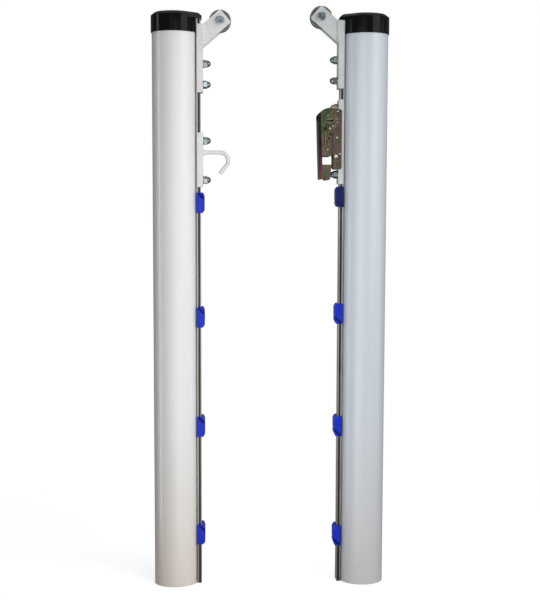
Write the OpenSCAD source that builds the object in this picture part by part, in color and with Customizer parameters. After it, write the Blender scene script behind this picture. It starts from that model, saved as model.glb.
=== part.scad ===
// Pair of oval net posts with a T-track on each inner side. Both tracks carry a pulley bracket and
// four net clips. The left post also has a net hook and the right post a ratchet tensioner.
// Millimetres, +Z up. The origin is on the floor, midway between the posts; +X runs from the left
// post to the right one and -Y is the front.
// Each fitting is drawn on the left post, where u is the distance from the post's axis towards
// the other post. on_post() places it on either post.

/* [Posts] */
// Overall height, floor to the top of the cap
post_h = 1555; // [1400:5:1800]
// Distance between the two post axes
post_spacing = 516; // [420:2:900]
// Width of the oval tube, along X
tube_w = 118; // [110:1:126]
// Depth of the oval tube, along Y
tube_d = 100; // [92:1:110]
// Wall thickness of the tube
tube_wall = 3; // [2.5:0.5:4]

/* [Caps and plugs] */
// Height of the top cap's skirt and crown together
cap_h = 54; // [45:1:60]
// How far the cap stands out round the tube
cap_lip = 2.5; // [1.5:0.5:4]
// Height of the plug inside the tube's lower end
plug_h = 28; // [20:1:40]

/* [Track] */
// Width of the track, along Y
track_w = 34; // [32:1:38]
// Depth of the track, out from the tube
track_d = 12; // [11.5:0.5:13]
// Width of the slot along the track's face
track_slot = 13; // [12.6:0.2:14]
// Number of rivets that hold each track
track_rivets = 5; // [3:1:7]

/* [Pulley brackets] */
// Height of the left pulley channel's lower end
left_bracket_z = 1344; // [1300:1:1357]
// Height of the right pulley channel's lower end
right_bracket_z = 1357; // [1340:1:1357]
// Length of the channel that clamps on the track
bracket_len = 180; // [170:1:180]
// Slope of the arms above the horizontal, in degrees
arm_angle = 41; // [35:1:48]
// Width of each arm
arm_w = 45; // [40:1:50]
// Outer diameter of the pulley
pulley_dia = 59; // [48:1:60]
// Width of the pulley
pulley_w = 22; // [18:1:23]

/* [Hook bracket] */
// Height of the hook channel's lower end
hook_plate_z = 1093; // [1090:1:1110]
// Length of the hook channel
hook_plate_len = 145; // [140:1:160]
// Diameter of the hook's rod
hook_rod = 11; // [8:1:14]
// Radius of the hook's bend, at the middle of the rod
hook_bend = 21.3; // [18:0.1:26]

/* [Ratchet] */
// Height of the ratchet plate's lower end
ratchet_plate_z = 1102; // [1100:1:1106]
// Length of the ratchet plate
ratchet_plate_len = 226; // [222:1:230]
// Height of the spool's axis
spool_z = 1270; // [1268:1:1272]
// Radius of the ratchet wheels
wheel_r = 24; // [22:1:25]
// Number of teeth on each ratchet wheel
wheel_teeth = 12; // [12:12:24]
// How far the handle's back leans in towards the post at its foot, in degrees
grip_lean = 1.8; // [0:0.1:2]

/* [Net clips] */
// Height of a net clip
clip_h = 55; // [48:1:60]
// Width of the slanted groove that the net's cord is pressed into
clip_groove_w = 4.8; // [2.4:0.2:5]

/* [Hidden] */
tube_a = tube_w / 2;
tube_b = tube_d / 2;
step_deg = 3;
smooth = 96;
fit = 0.3;

// heights on the post
tube_top = post_h - 10;
track_top = post_h - 17;
hood_u = 74;
hood_half = 20;

// track section: base, cavity and lips, counted out from the tube
track_u = tube_a;
track_face = track_u + track_d;
track_base = 2.5;
track_lip = 2.7;
cavity_u = track_u + track_base;
lip_u = track_face - track_lip;
cavity_half = 13;
groove_u = track_u + 4.2;
groove_w = 5.4;
groove_deep = 2.4;
rivet_r = 2.4;
rivet_head_r = 4.2;

// clamp channels
side_t = 4;
side_u = track_u + 2;
channel_half = track_w / 2 + 0.4 + side_t;
plate_u = track_face + fit;
bracket_t = 6;
bracket_u = plate_u + bracket_t;

// M12 track bolts with dome nuts
stud_r = 6;
nut_af = 19;
nut_hex_h = 9.5;
dome_r = 8.6;
dome_cyl = 0.8;
washer_r = 11.5;
washer_t = 2;
stud_into_nut = 12;
tee_half = 12.5;
tee_len = 22;
tee_t = 5.6;

// heights of the track bolts
bracket_bolt_steps = [22, 77];
hook_bolts = [hook_plate_z + 19, hook_plate_z + hook_plate_len - 21];
ratchet_bolts = [ratchet_plate_z + 26, ratchet_plate_z + ratchet_plate_len - 21];

// pulley and its fork
pulley_u = bracket_u + 45.5;
pulley_over = 189;
arm_t = 5;
arm_gap = 25;
arm_past_axle = 20;
arm_root = 120;
axle_r = 6;
axle_seat = arm_gap / 2 + arm_t;
sleeve_r = 8;
axle_washer_r = 12;
axle_washer_t = 2.5;
axle_head_h = 7.5;
axle_nut_h = 10;
axle_tail = 4;
axle_af = 19;
groove_r = 10.5;
groove_out = 4;

// hook
hook_z = hook_plate_z + 93;
hook_run = 46;
hook_turn = 128;
hook_tail = 29;
hook_lap = 0.5;
hook_swell = 0.06;

// ratchet: layers outwards from the middle plane
ratchet_t = 4;
ratchet_u = plate_u + ratchet_t;
spool_u = 100;
frame_in = 24;
sheet_t = 3;
wheel_in = frame_in + sheet_t + 0.6;
wheel_t = 4;
grip_in = wheel_in + wheel_t + 0.6;
grip_out = grip_in + sheet_t;
grip_clear = frame_in + sheet_t + 0.5;
frame_back = 67;
frame_edge = 89.3;
frame_low = 1142;
frame_top = 1292;
frame_shoulder = 1301;
frame_shoulder_u = 82;
frame_nose_u = 104;
frame_flare_low = 1180;
frame_flare_high = 1240;
frame_web_t = 3;
boss_r = 18.5;
spool_r = 9;
spool_gap = 4.6;
spool_end = grip_out + 3.2;
clip_ring_t = 1.4;
grip_r = 34.5;
grip_back = 131.3;
grip_bend = 8;
grip_low = 1112;
grip_inner = 95;
grip_edge = 86;
web_top = spool_z + 2;
window_low = 1154;
window_high = 1176;
window_out = 119.8;
foot_r = 8;
foot_u = 105.5;
foot_z = grip_low + foot_r;
heel_r = 5.1;
heel_u = 121.9;
heel_z = grip_low + heel_r + 2;
tooth_gap = 6.6;
tooth_deep = 5.2;
pawl_t = 3;
pawl_reach = wheel_r / 2;
pawl_travel = 7;
pawl_tip = spool_z - 25;
pawl_len = 40;
slot_play = 0.35;
pin_r = 3;
spring_r = 3.6;
spring_hole_r = 2.6;
pin_drop = 22;

// net clips: heights of their middles, from the top one down
clip_z_left = [1051, 741, 440, 139];
clip_z_right = [1068, 750, 439, 131];
clip_half = 23;
clip_back = 59.5;
clip_front = 81;
clip_groove_drop = 18;
clip_groove_slope = 41;
clip_groove_len = 21;
clip_groove_deep = 4.5;

// ---------- placing and shared shapes ----------

// A fitting drawn for the left post goes on the left post, or mirrored on the right one.
module on_post(side) {
    if (side == "left")
        translate([-post_spacing / 2, 0, 0]) children();
    else
        translate([post_spacing / 2, 0, 0]) mirror([1, 0, 0]) children();
}

// Lies an outline drawn in (u, z) upright, from y = low to y = high.
module plate_uz(low, high) {
    translate([0, high, 0]) rotate([90, 0, 0]) linear_extrude(high - low) children();
}

// The same plate on both sides of the middle plane, from |y| = near to |y| = far.
module plate_pair(near, far) {
    plate_uz(near, far) children();
    plate_uz(-far, -near) children();
}

// A box from one corner to the other.
module box(low, high) {
    translate(low) cube(high - low);
}

// The oval of the tube, grown by more than its nominal size.
module oval(more) {
    polygon([for (a = [0 : step_deg : 360 - step_deg])
        [(tube_a + more) * cos(a), (tube_b + more) * sin(a)]]);
}

// A round bar along u.
module bar_u(r, u, length, z) {
    translate([u, 0, z]) rotate([0, 90, 0]) cylinder(r = r, h = length, $fn = smooth);
}

// A round bar along y, centred on the middle plane.
module bar_y(r, length, u, z) {
    translate([u, 0, z]) rotate([90, 0, 0]) cylinder(r = r, h = length, center = true, $fn = smooth);
}

// A round bar along y between two depths.
module bar_y_from(r, low, high, u, z) {
    translate([u, high, z]) rotate([90, 0, 0]) cylinder(r = r, h = high - low, $fn = smooth);
}

// ---------- posts ----------

function rivet_z(i) = 45 + i * (track_top - 90) / (track_rivets - 1);

module post_tube(side) {
    color("white") on_post(side) difference() {
        linear_extrude(tube_top) oval(0);
        translate([0, 0, -1]) linear_extrude(tube_top + 2) oval(-tube_wall);
        for (i = [0 : track_rivets - 1])
            bar_u(rivet_r + 0.1, tube_a - 12, 20, rivet_z(i));
    }
}

// Corners of the track's section on the side y > 0.
track_side = [
    [track_u, track_w / 2], [groove_u, track_w / 2], [groove_u, track_w / 2 - groove_deep],
    [groove_u + groove_w, track_w / 2 - groove_deep], [groove_u + groove_w, track_w / 2],
    [track_face, track_w / 2], [track_face, track_slot / 2], [lip_u, track_slot / 2],
    [lip_u, cavity_half], [cavity_u, cavity_half]
];

module track_section() {
    polygon(concat(track_side, [for (i = [len(track_side) - 1 : -1 : 0])
        [track_side[i][0], -track_side[i][1]]]));
}

module track(side) {
    color("silver") on_post(side) difference() {
        linear_extrude(track_top) track_section();
        for (i = [0 : track_rivets - 1]) {
            bar_u(rivet_r + 0.1, track_u - 1, track_base + 2, rivet_z(i));
            translate([cavity_u - 1.7, 0, rivet_z(i)]) rotate([0, 90, 0])
                cylinder(r1 = rivet_r + 0.1, r2 = rivet_head_r + 0.1, h = 1.75, $fn = smooth);
        }
    }
}

// Countersunk blind rivets: flush head in the track, shank, and bulb inside the tube.
module track_rivet_set(side) {
    color("silver") on_post(side) for (i = [0 : track_rivets - 1])
        translate([0, 0, rivet_z(i)]) rotate([0, 90, 0]) rotate_extrude($fn = smooth) polygon([
            [0, tube_a - 8], [rivet_head_r, tube_a - 8], [rivet_head_r, tube_a - 4],
            [rivet_r, tube_a - 4], [rivet_r, cavity_u - 1.7], [rivet_head_r, cavity_u - 0.05],
            [0, cavity_u - 0.05]
        ]);
}

// The cap's outline above the track, drawn inwards by less: it covers the track's end too.
module hood_outline(less) {
    hull() {
        oval(cap_lip - less);
        translate([0, less - hood_half]) square([hood_u - less, 2 * (hood_half - less)]);
    }
}

// Bevelled crown of the cap: [inset, depth below the top].
crown = 10.4;
crown_steps = [[0, crown], [4.6, 5.5], [9.6, 1.6], [15, 0.3]];

module top_cap(side) {
    color("black") on_post(side) difference() {
        union() {
            translate([0, 0, post_h - cap_h]) linear_extrude(cap_h - crown) oval(cap_lip);
            translate([0, 0, track_top + fit]) linear_extrude(post_h - crown - track_top)
                hood_outline(0);
            hull()
                for (step = crown_steps)
                    translate([0, 0, post_h - step[1]]) linear_extrude(0.3) hood_outline(step[0]);
        }
        translate([0, 0, post_h - cap_h - 1]) linear_extrude(cap_h - 9) oval(0.15);
        box([track_u - 0.1, -track_w / 2 - fit, 0], [120, track_w / 2 + fit, track_top + fit]);
    }
}

module base_plug(side) {
    color("black") on_post(side) difference() {
        linear_extrude(plug_h) oval(-tube_wall - 0.15);
        translate([0, 0, 5]) linear_extrude(plug_h) oval(-tube_wall - 4);
    }
}

// ---------- clamping on the track ----------

// A channel that straddles the track, with a bolt hole at each height in holes.
module clamp_channel(side, low, length, face_u, holes) {
    color("white") on_post(side) difference() {
        box([side_u, -channel_half, low], [face_u, channel_half, low + length]);
        box([0, side_t - channel_half, low - 1], [plate_u, channel_half - side_t, low + length + 1]);
        for (z = holes)
            bar_u(stud_r + 0.3, plate_u - 1, face_u - plate_u + 2, z);
    }
}

// Tee-headed studs: the head lies in the track's cavity and the shank comes out of the slot.
module stud_set(side, face_u, holes) {
    head_u = lip_u - 0.1 - tee_t;
    color("silver") on_post(side) for (z = holes) {
        box([head_u, -tee_half, z - tee_len / 2], [head_u + tee_t, tee_half, z + tee_len / 2]);
        bar_u(stud_r, head_u, face_u + washer_t + stud_into_nut - head_u, z);
    }
}

module washer_set(side, face_u, holes) {
    color("silver") on_post(side) for (z = holes) difference() {
        bar_u(washer_r, face_u, washer_t, z);
        bar_u(stud_r + 0.3, face_u - 1, washer_t + 2, z);
    }
}

// Hexagon dome nuts.
module nut_set(side, face_u, holes) {
    foot = face_u + washer_t;
    color("silver") on_post(side) for (z = holes) difference() {
        union() {
            translate([foot, 0, z]) rotate([0, 90, 0])
                cylinder(r = nut_af / 2 / cos(30), h = nut_hex_h, $fn = 6);
            bar_u(dome_r, foot + nut_hex_h - 1, dome_cyl + 1, z);
            translate([foot + nut_hex_h + dome_cyl, 0, z]) sphere(r = dome_r, $fn = smooth);
        }
        bar_u(stud_r + 0.02, foot - 1, stud_into_nut + 1.05, z);
        bar_u(dome_r + 1, face_u - 8, washer_t + 8, z);
    }
}

// ---------- pulley bracket ----------

function bracket_z(side) = side == "left" ? left_bracket_z : right_bracket_z;
function bracket_bolts(side) = [for (step = bracket_bolt_steps) bracket_z(side) + step];
function pulley_z(side) = bracket_z(side) + pulley_over;

// Outline of one arm in (u, z): a sloping strip with a square end, cut off at the channel.
module arm_outline(side) {
    difference() {
        translate([pulley_u, pulley_z(side)]) rotate(arm_angle)
            translate([-arm_root, -arm_w / 2]) square([arm_root + arm_past_axle, arm_w]);
        translate([0, bracket_z(side) - arm_root]) square([bracket_u, bracket_len + 2 * arm_root]);
    }
}

module bracket_arms(side) {
    color("white") on_post(side) difference() {
        plate_pair(arm_gap / 2, arm_gap / 2 + arm_t) arm_outline(side);
        bar_y(axle_r + 0.1, 60, pulley_u, pulley_z(side));
    }
}

// Grooved wheel that turns on the sleeve.
module pulley_wheel(side) {
    r = pulley_dia / 2;
    w = pulley_w / 2;
    color("dimgray") on_post(side) translate([pulley_u, 0, pulley_z(side)]) rotate([90, 0, 0])
        rotate_extrude($fn = smooth) difference() {
            translate([sleeve_r + 0.05, -w]) square([r - sleeve_r - 0.05, pulley_w]);
            translate([r + groove_out, 0]) circle(r = groove_r, $fn = smooth);
        }
}

module pulley_sleeve(side) {
    color("goldenrod") on_post(side) difference() {
        bar_y(sleeve_r, arm_gap, pulley_u, pulley_z(side));
        bar_y(axle_r + 0.05, arm_gap + 2, pulley_u, pulley_z(side));
    }
}

module axle_washers(side) {
    color("silver") on_post(side) difference() {
        union() {
            bar_y_from(axle_washer_r, axle_seat, axle_seat + axle_washer_t, pulley_u, pulley_z(side));
            bar_y_from(axle_washer_r, -axle_seat - axle_washer_t, -axle_seat, pulley_u, pulley_z(side));
        }
        bar_y(axle_r + 0.1, 60, pulley_u, pulley_z(side));
    }
}

// Hexagon bolt from the front, through both arms.
module axle_bolt(side) {
    seat = axle_seat + axle_washer_t;
    color("silver") on_post(side) {
        translate([pulley_u, -seat, pulley_z(side)]) rotate([90, 0, 0])
            cylinder(r = axle_af / 2 / cos(30), h = axle_head_h, $fn = 6);
        bar_y_from(axle_r, -seat - 0.5, seat + axle_nut_h + axle_tail, pulley_u, pulley_z(side));
    }
}

module axle_nut(side) {
    seat = axle_seat + axle_washer_t;
    color("silver") on_post(side) difference() {
        translate([pulley_u, seat + axle_nut_h, pulley_z(side)]) rotate([90, 0, 0])
            cylinder(r = axle_af / 2 / cos(30), h = axle_nut_h, $fn = 6);
        bar_y(axle_r + 0.02, 90, pulley_u, pulley_z(side));
    }
}

// ---------- hook ----------

// Rod that leaves the channel square, bends over and comes back down towards the post.
module net_hook() {
    r = hook_rod / 2;
    bend_u = bracket_u + hook_run;
    color("white") on_post("left") {
        bar_u(r, bracket_u, hook_run + hook_lap, hook_z);
        translate([bend_u, 0, hook_z - hook_bend]) rotate([90, 0, 0]) rotate([0, 0, 90 - hook_turn])
            rotate_extrude(angle = hook_turn, $fn = smooth)
                translate([hook_bend, 0]) circle(r = r + hook_swell, $fn = smooth);
        translate([bend_u, 0, hook_z - hook_bend]) rotate([0, hook_turn, 0])
            translate([-hook_lap, 0, hook_bend]) rotate([0, 90, 0])
                cylinder(r = r, h = hook_tail + hook_lap, $fn = smooth);
    }
}

// ---------- ratchet tensioner ----------

// The spool's centre, as a place for outlines drawn about it.
module at_spool() {
    translate([spool_u, spool_z]) children();
}

// The long slot that guides a pawl, in (u, z), at a signed distance from the spool.
module pawl_slot(reach) {
    translate([spool_u + reach - pawl_t / 2 - slot_play, pawl_tip - pawl_len - slot_play])
        square([pawl_t + 2 * slot_play, pawl_len + pawl_travel + 2 * slot_play]);
}

module frame_outline() {
    difference() {
        union() {
            translate([frame_back, frame_low])
                square([frame_edge - frame_back, spool_z - frame_low + 5]);
            at_spool() circle(r = boss_r, $fn = smooth);
            polygon([
                [frame_back, spool_z], [frame_back, frame_shoulder],
                [frame_shoulder_u, frame_shoulder], [frame_nose_u, frame_top],
                [frame_nose_u, frame_flare_high], [frame_edge, frame_flare_low],
                [frame_edge, spool_z]
            ]);
        }
        at_spool() circle(r = spool_r + 0.08, $fn = smooth);
        pawl_slot(-pawl_reach);
        at_pin_low() circle(r = pin_r, $fn = smooth);
    }
}

module at_pin_low() {
    translate([spool_u - pawl_reach, pawl_tip - pawl_len - pin_drop]) children();
}

module ratchet_frame() {
    color("darkkhaki") on_post("right") union() {
        plate_pair(frame_in, frame_in + sheet_t) frame_outline();
        box([ratchet_u, -frame_in - 1, frame_low], [ratchet_u + frame_web_t, frame_in + 1, frame_top]);
    }
}

// Cross pin of the frame: it ties the side plates and seats the lock pawl's spring.
module frame_pins() {
    color("darkkhaki") on_post("right") bar_y(pin_r, 2 * (frame_in + sheet_t) + 1,
        spool_u - pawl_reach, pawl_tip - pawl_len - pin_drop);
}

// A pawl: a flat bar between the two ratchet wheels, at a signed distance from the spool.
module pawl(reach, half) {
    color("dimgray") on_post("right")
        box([spool_u + reach - pawl_t / 2, -half, pawl_tip - pawl_len],
            [spool_u + reach + pawl_t / 2, half, pawl_tip]);
}

// The spring under a pawl, standing on the cross pin below it.
module pawl_spring(reach) {
    foot = pawl_tip - pawl_len - pin_drop + pin_r;
    color("silver") on_post("right") translate([spool_u + reach, 0, foot]) difference() {
        cylinder(r = spring_r, h = pawl_tip - pawl_len - foot, $fn = smooth);
        translate([0, 0, -1]) cylinder(r = spring_hole_r, h = 40, $fn = smooth);
    }
}

// Two half-round bars with the strap's slit between them.
module spool_halves() {
    color("silver") on_post("right") difference() {
        bar_y(spool_r, 2 * spool_end, spool_u, spool_z);
        box([spool_u - 20, -60, spool_z - spool_gap / 2], [spool_u + 20, 60, spool_z + spool_gap / 2]);
    }
}

module wheel_outline() {
    difference() {
        circle(r = wheel_r, $fn = smooth);
        circle(r = spool_r + 0.02, $fn = smooth);
        for (a = [0 : 360 / wheel_teeth : 359]) rotate(a)
            translate([wheel_r - tooth_deep, -tooth_gap / 2]) square([10, tooth_gap]);
    }
}

module ratchet_wheels() {
    color("dimgray") on_post("right")
        plate_pair(wheel_in, wheel_in + wheel_t) at_spool() wheel_outline();
}

// Rings that keep the spool in the handle's side plates.
module spool_rings() {
    color("silver") on_post("right") plate_pair(grip_out + 0.4, grip_out + 0.4 + clip_ring_t)
        at_spool() difference() {
            circle(r = spool_r + 4, $fn = smooth);
            circle(r = spool_r + 0.02, $fn = smooth);
        }
}

// Side of the handle in (u, z): round about the spool, with a window, a foot and a heel. Its back
// is drawn full here and trimmed by the bent sheet.
module handle_outline() {
    difference() {
        union() {
            at_spool() circle(r = grip_r, $fn = smooth);
            polygon([
                [grip_inner, spool_z], [grip_inner, window_low], [foot_u - foot_r, foot_z],
                [heel_u, foot_z], [spool_u + grip_r, foot_z + heel_r], [spool_u + grip_r, spool_z]
            ]);
            translate([foot_u, foot_z]) circle(r = foot_r, $fn = smooth);
            translate([heel_u, heel_z]) circle(r = heel_r, $fn = smooth);
        }
        translate([0, spool_z - grip_r - 1]) square([grip_edge, 2 * grip_r + 2]);
        translate([grip_inner - 1, window_low])
            square([window_out - grip_inner + 1, window_high - window_low]);
        at_spool() circle(r = spool_r + 0.08, $fn = smooth);
        pawl_slot(pawl_reach);
        at_handle_pin() circle(r = pin_r, $fn = smooth);
    }
}

// Cross section of the folded sheet, moved inwards by less: two cheeks and a back at x = 0.
module sheet_section(less) {
    half = grip_out - less;
    r = grip_bend - less;
    reach = grip_back - frame_back;
    translate([-reach, -half]) square([reach - grip_bend, 2 * half]);
    translate([-reach, r - half]) square([reach - less, 2 * (half - r)]);
    for (s = [-1, 1])
        translate([-grip_bend, s * (half - r)]) circle(r = r, $fn = smooth);
}

module at_handle_pin() {
    translate([spool_u + pawl_reach, pawl_tip - pawl_len - pin_drop]) children();
}

// Sheet folded to a channel. Over the spool only the folds go on, so the frame clears its back.
module ratchet_handle() {
    drop = spool_z - grip_low + 5;
    color("darkkhaki") on_post("right") difference() {
        intersection() {
            plate_uz(-grip_out - 1, grip_out + 1) handle_outline();
            translate([grip_back, 0, spool_z]) rotate([0, grip_lean, 0]) translate([0, 0, -drop])
                linear_extrude(drop + grip_r + 5) difference() {
                    sheet_section(0);
                    sheet_section(sheet_t);
                }
        }
        box([spool_u, -grip_clear, web_top], [spool_u + 60, grip_clear, web_top + 60]);
    }
}

// Cross pin of the handle, under the drive pawl's spring.
module handle_pins() {
    color("darkkhaki") on_post("right") bar_y(pin_r, 2 * grip_out + 1.6,
        spool_u + pawl_reach, pawl_tip - pawl_len - pin_drop);
}

// ---------- net clips ----------

// Outline of the clip in (u, z).
module clip_outline() {
    half = clip_h / 2;
    polygon([
        [clip_back, -half], [clip_front - 5, -half], [clip_front, 8 - half],
        [clip_front, half - 9], [clip_front - 4, half], [clip_back, half]
    ]);
}

// The slanted groove in (u, z): open at the outer edge, round at its inner end.
module clip_groove() {
    translate([clip_front, clip_h / 2 - clip_groove_drop]) rotate(180 - clip_groove_slope) {
        translate([-4, -clip_groove_w / 2]) square([clip_groove_len + 4, clip_groove_w]);
        translate([clip_groove_len, 0]) circle(d = clip_groove_w, $fn = smooth);
    }
}

// A saddle that slides on the track, with ribs in the track's side grooves and a cord groove
// pressed into each cheek.
module clip_shape() {
    w = track_w / 2 + fit;
    difference() {
        plate_uz(-clip_half, clip_half) clip_outline();
        box([0, -w, -clip_h], [track_face + fit, w, clip_h]);
        plate_pair(clip_half - clip_groove_deep, clip_half + 1) clip_groove();
    }
    for (s = [-1, 1]) scale([1, s, 1])
        box([groove_u + fit, w - groove_deep + 0.1, -clip_h / 2 + 4],
            [groove_u + groove_w - fit, w + 1, clip_h / 2 - 18]);
}

module left_clip(i) {
    color("royalblue") translate([-post_spacing / 2, 0, clip_z_left[i]]) clip_shape();
}

// The right-hand clips are the same moulding turned half round, so their grooves are at the foot.
module right_clip(i) {
    color("royalblue") translate([post_spacing / 2, 0, clip_z_right[i]]) rotate([0, 180, 0])
        clip_shape();
}

post_tube("left");  // left_post_tube
track("left");  // left_track
track_rivet_set("left");  // left_track_rivets
top_cap("left");  // left_top_cap
base_plug("left");  // left_base_plug
clamp_channel("left", bracket_z("left"), bracket_len, bracket_u, bracket_bolts("left"));  // left_bracket_channel
bracket_arms("left");  // left_bracket_arms
stud_set("left", bracket_u, bracket_bolts("left"));  // left_bracket_studs
washer_set("left", bracket_u, bracket_bolts("left"));  // left_bracket_washers
nut_set("left", bracket_u, bracket_bolts("left"));  // left_bracket_nuts
pulley_wheel("left");  // left_pulley_wheel
pulley_sleeve("left");  // left_pulley_sleeve
axle_bolt("left");  // left_axle_bolt
axle_nut("left");  // left_axle_nut
axle_washers("left");  // left_axle_washers
clamp_channel("left", hook_plate_z, hook_plate_len, bracket_u, hook_bolts);  // hook_channel
net_hook();
stud_set("left", bracket_u, hook_bolts);  // hook_studs
washer_set("left", bracket_u, hook_bolts);  // hook_washers
nut_set("left", bracket_u, hook_bolts);  // hook_nuts
left_clip(0);  // left_clip_1
left_clip(1);  // left_clip_2
left_clip(2);  // left_clip_3
left_clip(3);  // left_clip_4
post_tube("right");  // right_post_tube
track("right");  // right_track
track_rivet_set("right");  // right_track_rivets
top_cap("right");  // right_top_cap
base_plug("right");  // right_base_plug
clamp_channel("right", bracket_z("right"), bracket_len, bracket_u, bracket_bolts("right"));  // right_bracket_channel
bracket_arms("right");  // right_bracket_arms
stud_set("right", bracket_u, bracket_bolts("right"));  // right_bracket_studs
washer_set("right", bracket_u, bracket_bolts("right"));  // right_bracket_washers
nut_set("right", bracket_u, bracket_bolts("right"));  // right_bracket_nuts
pulley_wheel("right");  // right_pulley_wheel
pulley_sleeve("right");  // right_pulley_sleeve
axle_bolt("right");  // right_axle_bolt
axle_nut("right");  // right_axle_nut
axle_washers("right");  // right_axle_washers
clamp_channel("right", ratchet_plate_z, ratchet_plate_len, ratchet_u, ratchet_bolts);  // ratchet_plate
ratchet_frame();
stud_set("right", ratchet_u, ratchet_bolts);  // ratchet_studs
washer_set("right", ratchet_u, ratchet_bolts);  // ratchet_washers
nut_set("right", ratchet_u, ratchet_bolts);  // ratchet_nuts
frame_pins();
pawl(-pawl_reach, wheel_in + wheel_t);  // lock_pawl
pawl_spring(-pawl_reach);  // lock_pawl_spring
spool_halves();
ratchet_wheels();
spool_rings();
ratchet_handle();
handle_pins();
pawl(pawl_reach, grip_out + 2);  // drive_pawl
pawl_spring(pawl_reach);  // drive_pawl_spring
right_clip(0);  // right_clip_1
right_clip(1);  // right_clip_2
right_clip(2);  // right_clip_3
right_clip(3);  // right_clip_4
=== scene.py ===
import math
import random
import bpy
import bmesh
from mathutils import Matrix, Vector, noise


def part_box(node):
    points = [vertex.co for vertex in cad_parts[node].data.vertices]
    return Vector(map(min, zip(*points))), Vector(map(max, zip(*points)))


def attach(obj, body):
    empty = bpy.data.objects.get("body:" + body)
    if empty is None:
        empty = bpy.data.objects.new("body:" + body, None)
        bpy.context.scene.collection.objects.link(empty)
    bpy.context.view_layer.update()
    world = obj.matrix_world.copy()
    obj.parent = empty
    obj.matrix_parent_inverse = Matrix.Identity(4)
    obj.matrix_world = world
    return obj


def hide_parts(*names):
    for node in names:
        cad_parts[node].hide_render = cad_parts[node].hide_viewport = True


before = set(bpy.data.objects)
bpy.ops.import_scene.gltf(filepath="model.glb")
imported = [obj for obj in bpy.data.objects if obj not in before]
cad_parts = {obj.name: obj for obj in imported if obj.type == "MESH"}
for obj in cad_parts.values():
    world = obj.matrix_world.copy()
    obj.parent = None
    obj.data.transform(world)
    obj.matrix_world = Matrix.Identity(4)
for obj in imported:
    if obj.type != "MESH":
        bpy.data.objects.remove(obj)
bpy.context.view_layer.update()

LEFT_X = sum(corner[0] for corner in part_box("left_post_tube")) / 2
RIGHT_X = sum(corner[0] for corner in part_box("right_post_tube")) / 2
TAU = 2 * math.pi

# Millimetres, as in the CAD
TUBE_WALL = 3
SCREW_R = 6.0
NUT_HALF = 9.5
TEE_HALF = 11
ARM_Y = (12.5, 17.5)
WASHER_Y = 17.5
BOLT_FACE_Y = 20.0
SPOOL_R = 9
SPOOL_HOLE_R = 9.1
FRAME_Y = (24, 27)
WHEEL_Y = (27.6, 31.6)
LEVER_Y = (32.2, 35.2)
LEVER_R = 34.5
LEVER_WALL = 3
LEVER_BEND = 8
HEEL = (121.9, 1119.1)
HEEL_R = 5.1
PIN_R = 3.0


# ---------- places: points are (u, y, z) in millimetres, u away from the post ----------

def spot(side, point):
    u, y, z = point
    if side == "left":
        x = LEFT_X * 1000 + u
    else:
        x = RIGHT_X * 1000 - u
    return Vector((x, y, z)) / 1000


def span(node, side):
    low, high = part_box(node)
    if side == "left":
        near = low[0] - LEFT_X
        far = high[0] - LEFT_X
    else:
        near = RIGHT_X - high[0]
        far = RIGHT_X - low[0]
    return {"u0": near * 1000, "u1": far * 1000,
            "y0": low[1] * 1000, "y1": high[1] * 1000,
            "z0": low[2] * 1000, "z1": high[2] * 1000}


def lerp(a, b, t):
    return a + (b - a) * t


# ---------- mesh helpers: a shape is (points, faces), in millimetres ----------

def loft(rings, closed_ends=True, loop=False):
    count = len(rings[0])
    points = [p for ring in rings for p in ring]
    faces = []
    last = len(rings) if loop else len(rings) - 1
    for i in range(last):
        a = i * count
        b = ((i + 1) % len(rings)) * count
        for k in range(count):
            n = (k + 1) % count
            faces.append((a + k, a + n, b + n, b + k))
    if closed_ends and not loop:
        faces.append(tuple(range(count)))
        faces.append(tuple(range(len(points) - count, len(points))))
    return points, faces


def join(*shapes):
    points = []
    faces = []
    for more_points, more_faces in shapes:
        start = len(points)
        points.extend(more_points)
        faces.extend(tuple(start + i for i in face) for face in more_faces)
    return points, faces


def moved(shape, change):
    points, faces = shape
    return [change(p) for p in points], faces


def box_shape(low, high):
    corners = [(x, y, z) for z in (low[2], high[2]) for x, y in
               ((low[0], low[1]), (high[0], low[1]), (high[0], high[1]), (low[0], high[1]))]
    return loft([corners[:4], corners[4:]])


def along_u(u, z):
    return lambda p: (u + p[2], p[0], z + p[1])


def along_y(u, z, y=0.0, way=1):
    return lambda p: (u + p[0], y + way * p[2], z + p[1])


def ring_at(radius, height, count):
    return [(radius * math.cos(TAU * k / count), radius * math.sin(TAU * k / count), height)
            for k in range(count)]


def turned(profile, count=96, loop=False):
    """Profile points (radius, height) turned round an axis."""
    return loft([ring_at(radius, height, count) for radius, height in profile], loop=loop)


def hexagon_edge(half, a):
    """How far a hexagon's edge is from its middle, in the direction a."""
    off = (a + math.pi / 6) % (math.pi / 3) - math.pi / 6
    return half / math.cos(off)


def hexagon(high, tail, double=False):
    """A nut's hexagon, chamfered on its outer end or on both, then the tail's profile."""
    count = 96
    bottom = []
    rim = []
    for k in range(count):
        a = TAU * k / count
        r = hexagon_edge(NUT_HALF, a)
        over = (r - NUT_HALF) * math.tan(math.radians(32))
        lift = over if double else 0.0
        bottom.append((r * math.cos(a), r * math.sin(a), 0.15 + lift))
        rim.append((r * math.cos(a), r * math.sin(a), high - over - 0.12))
    rings = [ring_at(NUT_HALF * 0.99, 0.0, count), bottom, rim]
    rings += [ring_at(r, z, count) for r, z in [(NUT_HALF * 0.985, high), *tail]]
    return loft(rings)


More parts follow.
